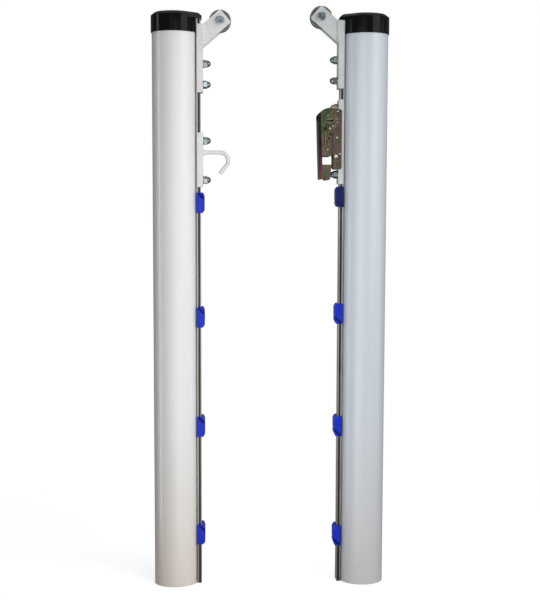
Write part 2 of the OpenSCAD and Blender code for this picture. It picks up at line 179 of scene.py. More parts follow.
def swept(path, radius, count):
    """A round bar along a path; radius is a number or a function of t, from 0 to 1 along it."""
    rings = []
    total = len(path) - 1
    for i, here in enumerate(path):
        ahead = Vector(path[min(i + 1, total)])
        behind = Vector(path[max(i - 1, 0)])
        way = (ahead - behind).normalized()
        side = way.cross(Vector((0, 1, 0)))
        if side.length < 0.1:
            side = way.cross(Vector((1, 0, 0)))
        side.normalize()
        up = side.cross(way).normalized()
        r = radius(i / total) if callable(radius) else radius
        rings.append([tuple(Vector(here) + side * (r * math.cos(TAU * k / count))
                            + up * (r * math.sin(TAU * k / count))) for k in range(count)])
    return loft(rings)


def arc(centre, r, start, end, steps):
    return [(centre[0] + r * math.cos(math.radians(lerp(start, end, i / steps))),
             centre[1] + r * math.sin(math.radians(lerp(start, end, i / steps))))
            for i in range(steps + 1)]


def circle(centre, r, steps):
    return arc(centre, r, 0, 360 - 360 / steps, steps - 1)


def plate(outlines, near, far, bevel):
    """Flat sheet with holes: the first outline is the edge, the others are holes, in (u, z)."""
    curve = bpy.data.curves.new("flat", "CURVE")
    curve.dimensions = "2D"
    curve.fill_mode = "BOTH"
    curve.resolution_u = 1
    for outline in outlines:
        line = curve.splines.new("POLY")
        line.points.add(len(outline) - 1)
        line.use_cyclic_u = True
        for point, (u, z) in zip(line.points, outline):
            point.co = (u, z, 0, 1)
    curve.extrude = (far - near) / 2 - bevel
    curve.bevel_depth = bevel
    curve.bevel_resolution = 1
    curve.offset = -bevel
    holder = bpy.data.objects.new("flat", curve)
    bpy.context.scene.collection.objects.link(holder)
    mesh = bpy.data.meshes.new_from_object(
        holder.evaluated_get(bpy.context.evaluated_depsgraph_get()))
    middle = (near + far) / 2
    points = [(v.co.x, middle + v.co.z, v.co.y) for v in mesh.vertices]
    faces = [tuple(p.vertices) for p in mesh.polygons]
    bpy.data.objects.remove(holder)
    bpy.data.curves.remove(curve)
    bpy.data.meshes.remove(mesh)
    return points, faces


def both_sides(shape):
    mirrored = moved(shape, lambda p: (p[0], -p[1], p[2]))
    return join(shape, mirrored)


# ---------- pieces ----------

def piece(name, side, shape, body, nodes, material, bevel=0.0, soft=35, sharp=28):
    """Makes the object, rounds edges sharper than sharp degrees and binds it to its CAD body."""
    points, faces = shape
    mesh = bpy.data.meshes.new(name)
    mesh.from_pydata([spot(side, p) for p in points], [], faces)
    tidy = bmesh.new()
    tidy.from_mesh(mesh)
    bmesh.ops.remove_doubles(tidy, verts=tidy.verts, dist=2e-6)
    bmesh.ops.recalc_face_normals(tidy, faces=tidy.faces)
    if bevel:
        hard = [e for e in tidy.edges if len(e.link_faces) == 2
                and e.calc_face_angle() > math.radians(sharp)]
        bmesh.ops.bevel(tidy, geom=hard, offset=bevel / 1000, segments=2, profile=0.5,
                        affect="EDGES", clamp_overlap=True)
    tidy.to_mesh(mesh)
    tidy.free()
    mesh.shade_smooth()
    mesh.set_sharp_from_angle(angle=math.radians(soft))
    thing = bpy.data.objects.new(name, mesh)
    bpy.context.scene.collection.objects.link(thing)
    even = thing.modifiers.new("even_normals", "WEIGHTED_NORMAL")
    even.keep_sharp = True
    mesh.materials.append(material)
    if nodes:
        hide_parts(*nodes)
    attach(thing, body)
    return thing


def oval_ring(a, b, z, count=224):
    return [(a * math.cos(TAU * k / count), b * math.sin(TAU * k / count), z) for k in range(count)]


def post_tube(side):
    s = span(side + "_post_tube", side)
    a = s["u1"]
    b = s["y1"]
    outer = [(-0.5, 0.0), (-0.15, 0.12), (0.0, 0.5)]
    rings = [oval_ring(a + d, b + d, s["z0"] + z) for d, z in outer]
    steps = 24
    rings += [oval_ring(a, b, lerp(0.5, s["z1"], i / steps)) for i in range(1, steps + 1)]
    a -= TUBE_WALL
    b -= TUBE_WALL
    rings += [oval_ring(a, b, lerp(s["z1"], 0.4, i / 6)) for i in range(7)]
    rings += [oval_ring(a + 0.4, b + 0.4, s["z0"])]
    piece(side + "_tube", side, loft(rings, loop=True), "posts", [side + "_post_tube"],
          PAINT[side], soft=50)


def cap_outline(a, b, lobe, half, inset):
    """The oval drawn out to a square nose over the track; inset moves the whole outline inwards."""
    ea = a - inset
    eb = b - inset
    edge = half - inset
    tip = lobe - inset
    corner = max(0.8, 3.0 - inset * 0.3)
    reach = math.hypot(tip / ea, edge / eb)
    start = math.atan2(edge / eb, tip / ea) + math.acos(1 / reach)
    steps = 160
    outline = [(ea * math.cos(lerp(start, TAU - start, i / steps)),
                eb * math.sin(lerp(start, TAU - start, i / steps))) for i in range(steps + 1)]
    upper = outline[0]
    lower = outline[-1]
    outline += [(lerp(lower[0], tip, t), lerp(lower[1], -edge, t)) for t in (0.25, 0.5, 0.75)]
    outline += fillet(lower, (tip, -edge), (tip, edge), corner, 6)
    outline += [(tip, lerp(-edge, edge, t)) for t in (0.3, 0.5, 0.7)]
    outline += fillet((tip, -edge), (tip, edge), upper, corner, 6)
    outline += [(lerp(tip, upper[0], t), lerp(edge, upper[1], t)) for t in (0.25, 0.5, 0.75)]
    return outline


def top_cap(side):
    s = span(side + "_top_cap", side)
    a = -s["u0"]
    b = s["y1"]
    low = s["z0"]
    top = s["z1"]
    over_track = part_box(side + "_track")[1][2] * 1000 + 0.3
    skirt = [(-2.2, low), (-0.5, low), (0.0, low + 0.5), (0.0, lerp(low, over_track, 0.5)),
             (0.0, over_track + 1)]
    rings = [oval_ring(a + d, b + d, z) for d, z in skirt]
    rings.append(oval_ring(a - 4, b - 4, over_track + 1))
    rings.append(oval_ring(a - 2.3, b - 2.3, low))
    ring_shape = loft(rings, closed_ends=False)
    crown = [(0.6, over_track), (0.0, over_track + 0.6), (0.0, top - 10.4), (0.15, top - 9.8),
             (0.6, top - 9.1), (2.2, top - 7.6), (4.6, top - 5.5), (7.4, top - 3.2),
             (9.6, top - 1.6), (11.4, top - 0.7), (13.6, top - 0.2), (16.0, top - 0.05)]
    hood = [[(u, y, z) for u, y in cap_outline(a, b, s["u1"], 20, inset)]
            for inset, z in crown]
    piece(side + "_cap", side, join(ring_shape, loft(hood)), "posts", [side + "_top_cap"],
          CAP, soft=24)


def base_plug(side):
    s = span(side + "_base_plug", side)
    a = s["u1"]
    b = s["y1"]
    steps = [(-1.2, 0.0), (-0.3, 0.3), (0.0, 1.2), (0.0, s["z1"]), (-3.9, s["z1"]), (-4.0, 6.0),
             (-6.0, 5.0), (-30.0, 5.0)]
    rings = [oval_ring(a + d, b + d, z, 128) for d, z in steps]
    piece(side + "_plug", side, loft(rings), "posts", [side + "_base_plug"], CAP)


def track(side):
    s = span(side + "_track", side)
    u0 = s["u0"]
    u1 = s["u1"]
    h = s["y1"]
    near = u0 + 4.2
    far = u0 + 9.6
    deep = 2.4
    lip = u1 - 2.7
    slot = 6.5
    cavity = 13
    half = [(u0, h), (near, h), (near, h - deep), (far, h - deep), (far, h), (u1, h), (u1, slot),
            (lip, slot), (lip, cavity), (u0 + 2.5, cavity)]
    section = half + [(u, -y) for u, y in reversed(half)]
    steps = 12
    rings = [[(u, y, lerp(s["z0"], s["z1"], i / steps)) for u, y in section]
             for i in range(steps + 1)]
    rail = piece(side + "_rail", side, loft(rings), "posts", [side + "_track"],
                 ALUMINIUM, bevel=0.35)
    # Faces inside the side grooves take near-black aluminium: painted shade in the grooves.
    rail.data.materials.append(RAIL_GROOVE_SHADE)
    for face in rail.data.polygons:
        depth = h - abs(face.center.y) * 1000
        face.material_index = int(0.2 < depth < deep + 0.2)


def rivets(side):
    s = span(side + "_track_rivets", side)
    track_span = span(side + "_track", side)
    head = s["u1"]
    low = s["z0"] + 4.2
    high = s["z1"] - 4.2
    shapes = []
    for i in range(5):
        z = lerp(low, high, i / 4)
        profile = [(0.3, head - 6), (2.4, head - 6), (2.4, head - 1.7), (4.1, head - 0.35),
                   (3.9, head - 0.12), (1.4, head - 0.1), (1.2, head - 0.7), (0.3, head - 0.8)]
        shapes.append(moved(turned(profile, 48), along_u(0, z)))
        blind = [(0.4, s["u0"]), (3.6, s["u0"] + 0.2), (4.2, s["u0"] + 1.4), (4.1, s["u0"] + 3.5),
                 (2.4, s["u0"] + 4.0), (2.4, track_span["u0"])]
        shapes.append(moved(turned(blind, 48), along_u(0, z)))
    piece(side + "_rivets", side, join(*shapes), "posts", [side + "_track_rivets"],
          ALUMINIUM)


def channel(name, node, side, body, material, wall, bend):
    s = span(node, side)
    u0 = s["u0"]
    u1 = s["u1"]
    h = s["y1"]
    inner_u = u1 - wall
    inner_h = h - 4
    half = [(u0, h)]
    half += arc((u1 - bend, h - bend), bend, 90, 0, 7)
    inside = [(inner_u, inner_h), (u0, inner_h)]
    right = [(u, -y) for u, y in reversed(half)]
    section = half + right + [(u, -y) for u, y in reversed(inside)] + inside
    rings = [[(u, y, z) for u, y in section] for z in (s["z0"], s["z1"])]
    piece(name, side, loft(rings), body, [node], material, bevel=0.7, sharp=50)
    return s


def thread(r, low, high, pitch):
    """The visible end of a screw, with its ridges and a chamfered tip."""
    profile = [(r * 0.4, low)]
    z = low
    while z < high - pitch:
        profile.append((r - 0.45, z + pitch * 0.1))
        profile.append((r, z + pitch * 0.5))
        z += pitch
    profile.append((r - 0.3, z + 0.2))
    profile.append((r - 0.9, high))
    return profile


def track_bolts(prefix, side, face_u, body, upper_nut):
    """Two tee studs with their washers and dome nuts; the upper nut has a finish of its own."""
    s = span(prefix + "_studs", side)
    heights = [s["z0"] + TEE_HALF, s["z1"] - TEE_HALF]
    studs = []
    rings = []
    nuts = []
    for z in heights:
        studs.append(box_shape((s["u0"], -12.5, z - TEE_HALF), (s["u0"] + 5.6, 12.5, z + TEE_HALF)))
        shank = [(5.0, s["u0"] + 5), (SCREW_R, s["u0"] + 5.6), (SCREW_R, s["u1"] - 1),
                 (5.2, s["u1"])]
        studs.append(moved(turned(shank, 64), along_u(0, z)))
        washer = [(6.3, 0.0), (10.9, 0.0), (11.4, 0.35), (11.5, 0.9), (11.3, 1.6), (10.7, 2.0),
                  (6.3, 2.0)]
        rings.append(moved(turned(washer, 72, loop=True), along_u(face_u, z)))
        twist = 0.4 + z * 0.37
        tail = [(8.55, 9.5), (8.6, 9.9)]
        tail += [(8.6 * math.cos(math.radians(t)), 10.3 + 8.6 * math.sin(math.radians(t)))
                 for t in (6, 16, 26, 36, 46, 56, 66, 76, 84, 89)]
        cap = hexagon(9.5, tail)
        spun = moved(cap, lambda p: (p[0] * math.cos(twist) - p[1] * math.sin(twist),
                                     p[0] * math.sin(twist) + p[1] * math.cos(twist), p[2]))
        nuts.append(moved(spun, along_u(face_u + 2, z)))
    piece(prefix + "_tee_studs", side, join(*studs), body, [prefix + "_studs"],
          ZINC, bevel=0.5)
    piece(prefix + "_flat_washers", side, join(*rings), body, [prefix + "_washers"],
          ZINC)
    caps = piece(prefix + "_dome_nuts", side, join(*nuts), body, [prefix + "_nuts"],
                 ZINC, soft=20)
    caps.data.materials.append(upper_nut)
    for face in caps.data.polygons:
        face.material_index = int(face.center.z * 1000 > sum(heights) / 2)


def weld(start, end, seed):
    """A run of overlapping weld ripples along a straight line."""
    r = 3.1
    pitch = 8.5
    start = Vector(start)
    end = Vector(end)
    length = (end - start).length
    steps = max(8, int(length / pitch * 6))
    chance = random.Random(seed)
    wobble = [chance.uniform(0.82, 1.15) for _ in range(int(length / pitch) + 2)]
    points = [tuple(start.lerp(end, i / steps)) for i in range(steps + 1)]

    def size(t):
        along = t * length / pitch
        phase = along % 1.0
        ends = min(1.0, 0.35 + 8 * min(t, 1 - t))
        return r * wobble[int(along)] * (0.74 + 0.3 * math.sin(math.pi * phase) ** 0.6) * ends

    return swept(points, size, 14)


def arm_outline(pivot, face, past, width, angle):
    """A sloping strip with a square end, trimmed at the channel's face."""
    along = Vector((math.cos(math.radians(angle)), math.sin(math.radians(angle))))
    across = Vector((-along.y, along.x))
    centre = Vector(pivot)
    top_end = centre + along * past + across * (width / 2)
    low_end = centre + along * past - across * (width / 2)
    top_root = top_end - along * ((top_end.x - face) / along.x)
    low_root = low_end - along * ((low_end.x - face) / along.x)
    r = 5.0
    outline = [tuple(low_root)]
    outline += fillet(low_root, low_end, top_end, r)
    outline += fillet(low_end, top_end, top_root, r)
    outline.append(tuple(top_root))
    return outline, low_root.y, top_root.y


def fillet(before, corner, after, r, steps=7):
    a = (Vector(before) - Vector(corner)).normalized()
    b = (Vector(after) - Vector(corner)).normalized()
    half = math.acos(max(-1.0, min(1.0, a.dot(b)))) / 2
    centre = Vector(corner) + (a + b).normalized() * (r / math.sin(half))
    first = Vector(corner) + a * (r / math.tan(half)) - centre
    last = Vector(corner) + b * (r / math.tan(half)) - centre
    turn = first.angle_signed(last)
    points = []
    for i in range(steps + 1):
        c = math.cos(-turn * i / steps)
        s = math.sin(-turn * i / steps)
        points.append((centre.x + first.x * c - first.y * s, centre.y + first.x * s + first.y * c))
    return points


def pulley_bracket(side):
    body = side + "_pulley_bracket"
    node = side + "_bracket_channel"
    s = channel(side + "_clamp_channel", node, side, body, BRACKET[side], 6, 1.6)
    wheel = span(side + "_pulley_wheel", side)
    pivot = ((wheel["u0"] + wheel["u1"]) / 2, (wheel["z0"] + wheel["z1"]) / 2)
    outline, low, high = arm_outline(pivot, s["u1"] - 0.4, 20, 45, 41)
    arms = both_sides(plate([outline], *ARM_Y, 0.5))
    piece(side + "_arms", side, arms, body, [side + "_bracket_arms"],
          BRACKET[side], soft=30)
    top = min(high, s["z1"])
    u = s["u1"] + 1.0
    runs = [weld((u, y, low + 2), (u, y, top - 2), i)
            for i, y in enumerate((-18.3, -11.8, 11.8, 18.3))]
    welds = piece(side + "_arm_welds", side, join(*runs), body, [],
                  BRACKET[side], soft=60)
    roughen(welds, 0.35)
    track_bolts(side + "_bracket", side, s["u1"], body, ZINC)
    pulley(side, pivot, wheel)
    axle(side, pivot, body)


def roughen(thing, amount):
    """Moves the points a little, so that welds aren't perfectly regular."""
    noise.seed_set(11)  # unseeded, the noise starts from the clock
    for v in thing.data.vertices:
        v.co += noise.noise_vector(v.co * 420) * (amount / 1000)


def pulley(side, pivot, wheel):
    r = (wheel["u1"] - wheel["u0"]) / 2
    w = wheel["y1"]
    rim = [(8.05, -w), (11.0, -w), (11.4, 0.8 - w), (r - 6, 0.8 - w), (r - 5.4, -w),
           (r - 0.6, -w), (r - 0.1, 0.5 - w)]
    groove = arc((r + 4, 0), 10.4, 248, 112, 18)
    cut = [(x, y) for x, y in groove if x < r]
    profile = rim + [(r, -abs(cut[0][1]) - 0.4)] + cut + [(r, abs(cut[0][1]) + 0.4)]
    profile += [(x, -y) for x, y in reversed(rim)]
    shape = moved(turned(profile, 128, loop=True), along_y(*pivot))
    piece(side + "_sheave", side, shape, side + "_pulley", [side + "_pulley_wheel"],
          PULLEY, soft=28)
    end = ARM_Y[0]
    bush = [(6.05, -end), (7.6, -end), (8.0, 0.4 - end), (8.0, end - 0.4), (7.6, end), (6.05, end)]
    piece(side + "_bush", side, moved(turned(bush, 64, loop=True), along_y(*pivot)),
          side + "_pulley_bracket", [side + "_pulley_sleeve"], BRONZE)


def axle(side, pivot, body):
    washer = [(6.2, 0.0), (11.4, 0.0), (11.9, 0.4), (12.0, 1.2), (11.8, 2.1), (11.2, 2.5),
              (6.2, 2.5)]
    pair = [moved(turned(washer, 72, loop=True), along_y(*pivot, WASHER_Y, 1)),
            moved(turned(washer, 72, loop=True), along_y(*pivot, -WASHER_Y, -1))]
    piece(side + "_axle_flat_washers", side, join(*pair), body, [side + "_axle_washers"],
          ZINC)
    head = hexagon(7.5, [(6.6, 7.5), (6.2, 7.1), (0.4, 6.9)])
    shank = turned([(5.0, -20.2), (SCREW_R, -19.8), (SCREW_R, 29.0), (5.2, 29.5)], 64)
    tip = turned(thread(SCREW_R, 29.0, 34.0, 1.75), 64)
    bolt = join(moved(head, along_y(*pivot, -BOLT_FACE_Y, -1)), moved(shank, along_y(*pivot)),
                moved(tip, along_y(*pivot)))
    piece(side + "_axle_hex_bolt", side, bolt, body, [side + "_axle_bolt"], ZINC,
          soft=20)
    nut = hexagon(10.0, [(7.2, 10.0), (6.1, 9.2), (6.05, 8.4)], double=True)
    piece(side + "_axle_hex_nut", side, moved(nut, along_y(*pivot, BOLT_FACE_Y, 1)), body,
          [side + "_axle_nut"], ZINC, soft=20)


def hook():
    s = channel("hook_clamp_channel", "hook_channel", "left", "hook_bracket",
                BRACKET["left"], 6, 1.6)
    z = s["z0"] + 93
    rod_r = 5.5
    run = 46
    bend = 21.3
    turn = 128
    u = s["u1"]
    path = [(lerp(u - 0.5, u + run, i / 6), 0, z) for i in range(6)]
    centre = (u + run, z - bend)
    path += [(p[0], 0, p[1]) for p in arc(centre, bend, 90, 90 - turn, 20)]
    way = Vector((math.cos(math.radians(-turn)), 0, math.sin(math.radians(-turn))))
    last = Vector(path[-1])
    path += [tuple(last + way * d) for d in (7, 14, 21, 28.2, 28.7, 29.0)]
    total = len(path) - 1

    def size(t):
        step = round(t * total)
        trim = {total: 1.3, total - 1: 0.5}
        return rod_r - trim.get(step, 0.0)

    piece("hook_rod", "left", swept(path, size, 40), "hook_bracket", ["net_hook"],
          BRACKET["left"], soft=40)
    ring = [(u + 0.8, 7.0 * math.cos(TAU * k / 30), z + 7.0 * math.sin(TAU * k / 30))
            for k in range(31)]
    bead = swept(ring, lambda t: 2.2 * (0.8 + 0.25 * abs(math.sin(t * 9 * math.pi))), 12)
    welds = piece("hook_weld", "left", bead, "hook_bracket", [],
                  BRACKET["left"], soft=60)
    roughen(welds, 0.3)
    track_bolts("hook", "left", s["u1"], "hook_bracket", ZINC)


# ---------- ratchet ----------

def rivet_head(u, z, r, y, height=1.4):
    profile = [(r * 0.98, 0.0), (r, 0.25), (r * 0.86, height * 0.62), (r * 0.55, height * 0.92),
               (r * 0.2, height)]
    return both_sides(moved(turned(profile, 32), along_y(u, z, y, 1)))


def slot_hole(reach, axis, tip=25, travel=7.35, length=40.35, half=1.85):
    u = axis[0] + reach
    low = axis[1] - tip - length
    high = axis[1] - tip + travel
    return [(u - half, low), (u + half, low), (u + half, high), (u - half, high)]


def frame_sides(axis):
    flare = 104
    plate_edge = [(67, 1145), (70, 1142), (85.3, 1142), (89.3, 1146), (89.3, 1180), (flare, 1240)]
    boss = arc(axis, 18.5, -77.5, 77.5, 20)
    rest = [(flare, 1289), (101, 1293.2), (82, 1301), (70, 1301), (67, 1298)]
    outline = plate_edge + boss + rest
    holes = [circle(axis, SPOOL_HOLE_R, 48), slot_hole(-12, axis)]
    sides = both_sides(plate([outline, *holes], *FRAME_Y, 0.45))
    web = box_shape((75.3, -24.6, 1142), (78.3, 24.6, 1292))
    face = FRAME_Y[1]
    heads = [rivet_head(80, 1226.5, 3.0, face, 2.2), rivet_head(72.4, 1183, 2.6, face, 2.0),
             rivet_head(82.8, 1176.5, 5.6, face, 2.4), rivet_head(78.2, 1296, 2.2, face, 1.6),
             rivet_head(81.5, 1277.5, 1.8, face), rivet_head(78.8, 1267.5, 2.0, face)]
    piece("ratchet_side_plates", "right", sides, "ratchet_base", ["ratchet_frame"],
          YELLOW, soft=25)
    piece("ratchet_web", "right", web, "ratchet_base", [], YELLOW, bevel=0.5)
    piece("frame_rivets", "right", join(*heads), "ratchet_base", [], RIVET, soft=60)


def toothed(axis, r, bore, teeth=12, gap=6.6, depth=5.2):
    """The outline of a ratchet wheel and its hole; gap and depth are those of the spaces."""
    outline = []
    pitch = 360 / teeth
    half = math.degrees(math.asin(gap / 2 / r))
    inner = math.hypot(r - depth, gap / 2)
    lean = math.degrees(math.atan2(gap / 2, r - depth)) - 1.5
    for i in range(teeth):
        a = pitch * i
        outline += arc(axis, inner, a - lean, a + lean, 1)
        outline += arc(axis, r, a + half + 1.2, a + pitch - half - 1.2, 4)
    return [outline, circle(axis, bore, 48)]


def spool(axis):
    wheels = both_sides(plate(toothed(axis, 24, 9.02), *WHEEL_Y, 0.35))
    piece("toothed_wheels", "right", wheels, "ratchet_spool", ["ratchet_wheels"],
          WHEEL, soft=30)
    edge = math.degrees(math.asin(2.3 / SPOOL_R))
    halves = [(edge, 180 - edge), (180 + edge, 360 - edge)]
    bars = [plate([arc(axis, SPOOL_R, start, end, 24)], -38.4, 38.4, 0.5) for start, end in halves]
    piece("spool_bars", "right", join(*bars), "ratchet_spool", ["spool_halves"],
          WHEEL, soft=30)
    collar = arc(axis, 13, -60, 240, 40) + arc(axis, SPOOL_HOLE_R, 240, -60, 40)
    piece("snap_rings", "right", both_sides(plate([collar], 35.6, 37.0, 0.25)), "ratchet_spool",
          ["spool_rings"], YELLOW, soft=30)


def lever_outline(axis, fold):
    """Flat part of a cheek: round over the spool, cut off near the post, with window and foot."""
    cut = math.degrees(math.acos(-14 / LEVER_R))
    root = math.degrees(math.acos(-5 / LEVER_R))
    top = math.degrees(math.acos((fold(1294) - axis[0]) / LEVER_R))
    outline = arc(axis, LEVER_R, top, cut, 24)
    outline += arc(axis, LEVER_R, 360 - cut, 360 - root, 4)
    outline += fillet((95, 1200), (95, 1176), (119.8, 1176), 2)
    outline += fillet((95, 1176), (119.8, 1176), (119.8, 1154), 3)
    outline += fillet((119.8, 1176), (119.8, 1154), (95, 1154), 3)
    outline += fillet((119.8, 1154), (95, 1154), (97.5, 1120), 2)
    outline += arc((105.5, 1120), 8, 184, 356, 16)
    outline += [(115.2, 1120.4)]
    outline += arc(HEEL, HEEL_R, 176, 228, 5)
    return outline + [(fold(z), z) for z in (1116, 1150, 1200, 1250)]


FOLD_STEPS = [0.0, 0.01, 0.06, 0.15, 0.3, 0.45, 0.6, 0.75, 0.9, 0.97, 1.0]


def lever_fold(axis, back):
    """The sheet's folds and its back, in one run from the front cheek round to the rear one."""
    flat_y = LEVER_Y[0] - 5
    inner_r = LEVER_BEND - LEVER_WALL
    turns = [math.radians(90 * i / 9) for i in range(10)]
    stations = [(LEVER_BEND * math.sin(t) - LEVER_BEND, flat_y + LEVER_BEND * math.cos(t),
                 inner_r * math.sin(t) - LEVER_BEND, flat_y + inner_r * math.cos(t), 0)
                for t in turns]
    stations += [(0, y, -LEVER_WALL, y, 1) for y in (26.9, 14, 0)]
    stations += [(a, -y, b, -w, flat) for a, y, b, w, flat in reversed(stations[:-1])]
    rings = []
    for outer, outer_y, inner, inner_y, flat in stations:
        skin = [rise(axis, back, outer, flat, t) for t in FOLD_STEPS]
        lining = [rise(axis, back, inner, flat, t) for t in reversed(FOLD_STEPS)]
        rings.append([(u, -outer_y, z) for u, z in skin] + [(u, -inner_y, z) for u, z in lining])
    return loft(rings)


def rise(axis, back, shift, flat, t):
    """A point of the folded sheet, t of the way from the heel's edge up to the round top."""
    low_u = back(1119) + shift
    low = HEEL[1] - math.sqrt(max(0.0, HEEL_R ** 2 - (low_u - HEEL[0]) ** 2))
    high_u = back(1285) + shift
    high = axis[1] + math.sqrt(LEVER_R ** 2 - (high_u - axis[0]) ** 2)
    if flat:
        high = axis[1] + 2
    z = lerp(low, high, t)
    return back(z) + shift, z


def lever(axis):
    lean = math.tan(math.radians(1.8))

    def back(z):
        return 131.3 + (z - axis[1]) * lean

    def fold(z):
        return back(z) - 7.4

    dimples = [((98.0, 1235), 2.7), ((101.8, 1223.2), 2.9), ((107.0, 1215.2), 2.4)]
    holes = [circle(axis, SPOOL_HOLE_R, 48), slot_hole(12, axis)]
    holes += [circle(place, r, 24) for place, r in dimples]
    sides = both_sides(plate([lever_outline(axis, fold), *holes], *LEVER_Y, 0.5))
    # Near-black discs set inside the dimples: painted shade in the holes.
    floors = [both_sides(plate([circle(place, r - 0.1, 24)], 32.4, 33.4, 0.2))
              for place, r in dimples]
    piece("dimple_painted_shade", "right", join(*floors), "ratchet_lever", [], SHADED)
    face = LEVER_Y[1]
    heads = [rivet_head(99.8, 1250.2, 2.5, face, 1.8), rivet_head(105.2, 1194, 1.8, face, 0.4),
             rivet_head(105.5, 1283, 1.6, face, 1.2), rivet_head(91.5, 1257, 1.7, face, 1.2)]
    piece("lever_sides", "right", sides, "ratchet_lever", ["ratchet_handle"],
          YELLOW, soft=25)
    piece("lever_rivets", "right", join(*heads), "ratchet_lever", [], RIVET,
          soft=60)
    piece("lever_back", "right", lever_fold(axis, back), "ratchet_lever", [],
          SHADED, bevel=0.5, sharp=50)


def pin(name, node, body):
    s = span(node, "right")
    middle = ((s["u0"] + s["u1"]) / 2, (s["z0"] + s["z1"]) / 2)
    half = s["y1"]
    profile = [(PIN_R - 0.1, -half), (PIN_R, 0.3 - half), (PIN_R, half - 0.3), (PIN_R - 0.1, half)]
    piece(name, "right", moved(turned(profile, 40), along_y(*middle)), body, [node],
          YELLOW)


def pawl(name, node, body):
    s = span(node, "right")
    bar = box_shape((s["u0"], s["y0"], s["z0"]), (s["u1"], s["y1"], s["z1"]))
    piece(name, "right", bar, body, [node], YELLOW, bevel=0.6)


def spring(name, node, body):
    s = span(node, "right")
    u = (s["u0"] + s["u1"]) / 2
    coil_r = 3.05
    turns = 6.5
    steps = int(turns * 20)
    path = []
    for i in range(steps + 1):
        t = i / steps
        a = TAU * turns * t
        z = lerp(s["z0"] + 0.5, s["z1"] - 0.5, t)
        path.append((u + coil_r * math.cos(a), coil_r * math.sin(a), z))
    piece(name, "right", swept(path, 0.5, 8), body, [node], STEEL, soft=60)


def ratchet():
    s = channel("ratchet_back_plate", "ratchet_plate", "right", "ratchet_base",
                BRACKET["right"], 4, 1.4)
    wheel = span("ratchet_wheels", "right")
    axis = ((wheel["u0"] + wheel["u1"]) / 2, (wheel["z0"] + wheel["z1"]) / 2)
    track_bolts("ratchet", "right", s["u1"], "ratchet_base", PINK)
    frame_sides(axis)
    spool(axis)
    lever(axis)
    pin("frame_cross_pin", "frame_pins", "ratchet_base")
    pin("lever_cross_pin", "handle_pins", "ratchet_lever")
    pawl("lock_pawl_plate", "lock_pawl", "lock_pawl_bar")
    pawl("drive_pawl_plate", "drive_pawl", "drive_pawl_bar")
    spring("lock_coil", "lock_pawl_spring", "ratchet_base")
    spring("drive_coil", "drive_pawl_spring", "ratchet_lever")


# ---------- net clips ----------

def in_groove(point, side, middle):
    """Whether a point of a clip lies in one of the slanted cord grooves of its cheeks."""
    front = 81
    mouth = 9.5
    slope = math.radians(41)
    if side == "left":
        out = point.x - LEFT_X * 1000 - front
        up = point.z - middle - mouth
    else:
        out = RIGHT_X * 1000 - point.x - front
        up = middle - point.z - mouth
    off = abs(out * math.sin(slope) + up * math.cos(slope))
    run = up * math.sin(slope) - out * math.cos(slope)
    return off < 2.7 and -4 < run < 24 and 17.5 < abs(point.y) < 22.3


def clip(side, i):
    """The CAD clip, remeshed finely and smoothed so that it has a moulding's soft edges."""
    node = side + "_clip_" + str(i)
    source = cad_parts[node]
    mesh = source.data.copy()
    mesh.name = node + "_moulding"
    thing = bpy.data.objects.new(node + "_moulding", mesh)
    bpy.context.scene.collection.objects.link(thing)
    whole = bmesh.new()
    whole.from_mesh(mesh)
    bmesh.ops.remove_doubles(whole, verts=whole.verts, dist=1e-6)
    whole.to_mesh(mesh)
    whole.free()
    fine = thing.modifiers.new("fine", "REMESH")
    fine.mode = "VOXEL"
    fine.voxel_size = 0.0008
    ease = thing.modifiers.new("ease", "SMOOTH")
    ease.factor = 0.5
    ease.iterations = 5
    thin = thing.modifiers.new("thin", "DECIMATE")
    thin.ratio = 0.22
    ready = thing.evaluated_get(bpy.context.evaluated_depsgraph_get())
    baked = bpy.data.meshes.new_from_object(ready)
    thing.modifiers.clear()
    thing.data = baked
    baked.shade_smooth()
    baked.materials.clear()
    # right_clip_1 takes a darker copy of the clip blue: painted shade.
    baked.materials.append(SHADED_CLIP_BLUE if node == "right_clip_1" else BLUE)
    # Faces in the cord grooves take a near-black blue: painted shade in the grooves.
    baked.materials.append(GROOVE_SHADE_BLUE)
    s = span(node, side)
    for face in baked.polygons:
        face.material_index = int(in_groove(face.center * 1000, side, (s["z0"] + s["z1"]) / 2))
    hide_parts(node)
    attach(thing, side + "_clip_slider_" + str(i))


# ---------- materials ----------

